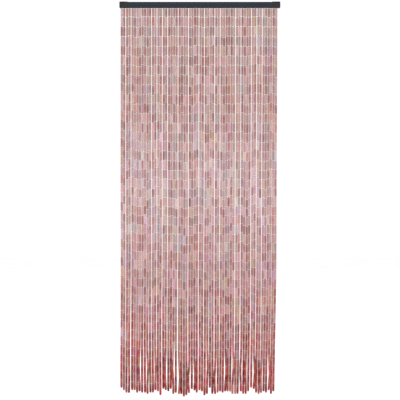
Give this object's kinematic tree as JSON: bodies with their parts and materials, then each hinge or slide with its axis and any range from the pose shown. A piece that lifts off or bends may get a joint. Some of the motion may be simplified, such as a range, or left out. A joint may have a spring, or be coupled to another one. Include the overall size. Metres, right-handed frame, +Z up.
{
  "type": "bead curtain with header rail",
  "caption": "Doorway curtain of thin beaded strands that hang in pairs from a dark header rail with end caps, their tips at uneven heights.",
  "frame": {"origin": "centre of the header rail's flat back", "axes": "+X to the right seen from the front, +Y out of the rail's back towards the wall, +Z up, front faces -Y"},
  "size_m": [0.9, 0.0336, 2.2103],
  "materials": {
    "rail_paint": "satin",
    "cap_plastic": "matte",
    "stained_bamboo": "satin"
  },
  "bodies": {
    "root": {"header_rail": "rail_paint", "end_cap_left": "cap_plastic", "end_cap_right": "cap_plastic", "strand_pair_01": "stained_bamboo", "strand_pair_02": "stained_bamboo", "strand_pair_03": "stained_bamboo", "strand_pair_04": "stained_bamboo", "strand_pair_05": "stained_bamboo", "strand_pair_06": "stained_bamboo", "strand_pair_07": "stained_bamboo", "strand_pair_08": "stained_bamboo", "strand_pair_09": "stained_bamboo", "strand_pair_10": "stained_bamboo", "strand_pair_11": "stained_bamboo", "strand_pair_12": "stained_bamboo", "strand_pair_13": "stained_bamboo", "strand_pair_14": "stained_bamboo", "strand_pair_15": "stained_bamboo", "strand_pair_16": "stained_bamboo", "strand_pair_17": "stained_bamboo", "strand_pair_18": "stained_bamboo", "strand_pair_19": "stained_bamboo", "strand_pair_20": "stained_bamboo", "strand_pair_21": "stained_bamboo", "strand_pair_22": "stained_bamboo", "strand_pair_23": "stained_bamboo", "strand_pair_24": "stained_bamboo", "strand_pair_25": "stained_bamboo", "strand_pair_26": "stained_bamboo", "strand_pair_27": "stained_bamboo", "strand_pair_28": "stained_bamboo", "strand_pair_29": "stained_bamboo", "strand_pair_30": "stained_bamboo"}
  },
  "joints": []
}
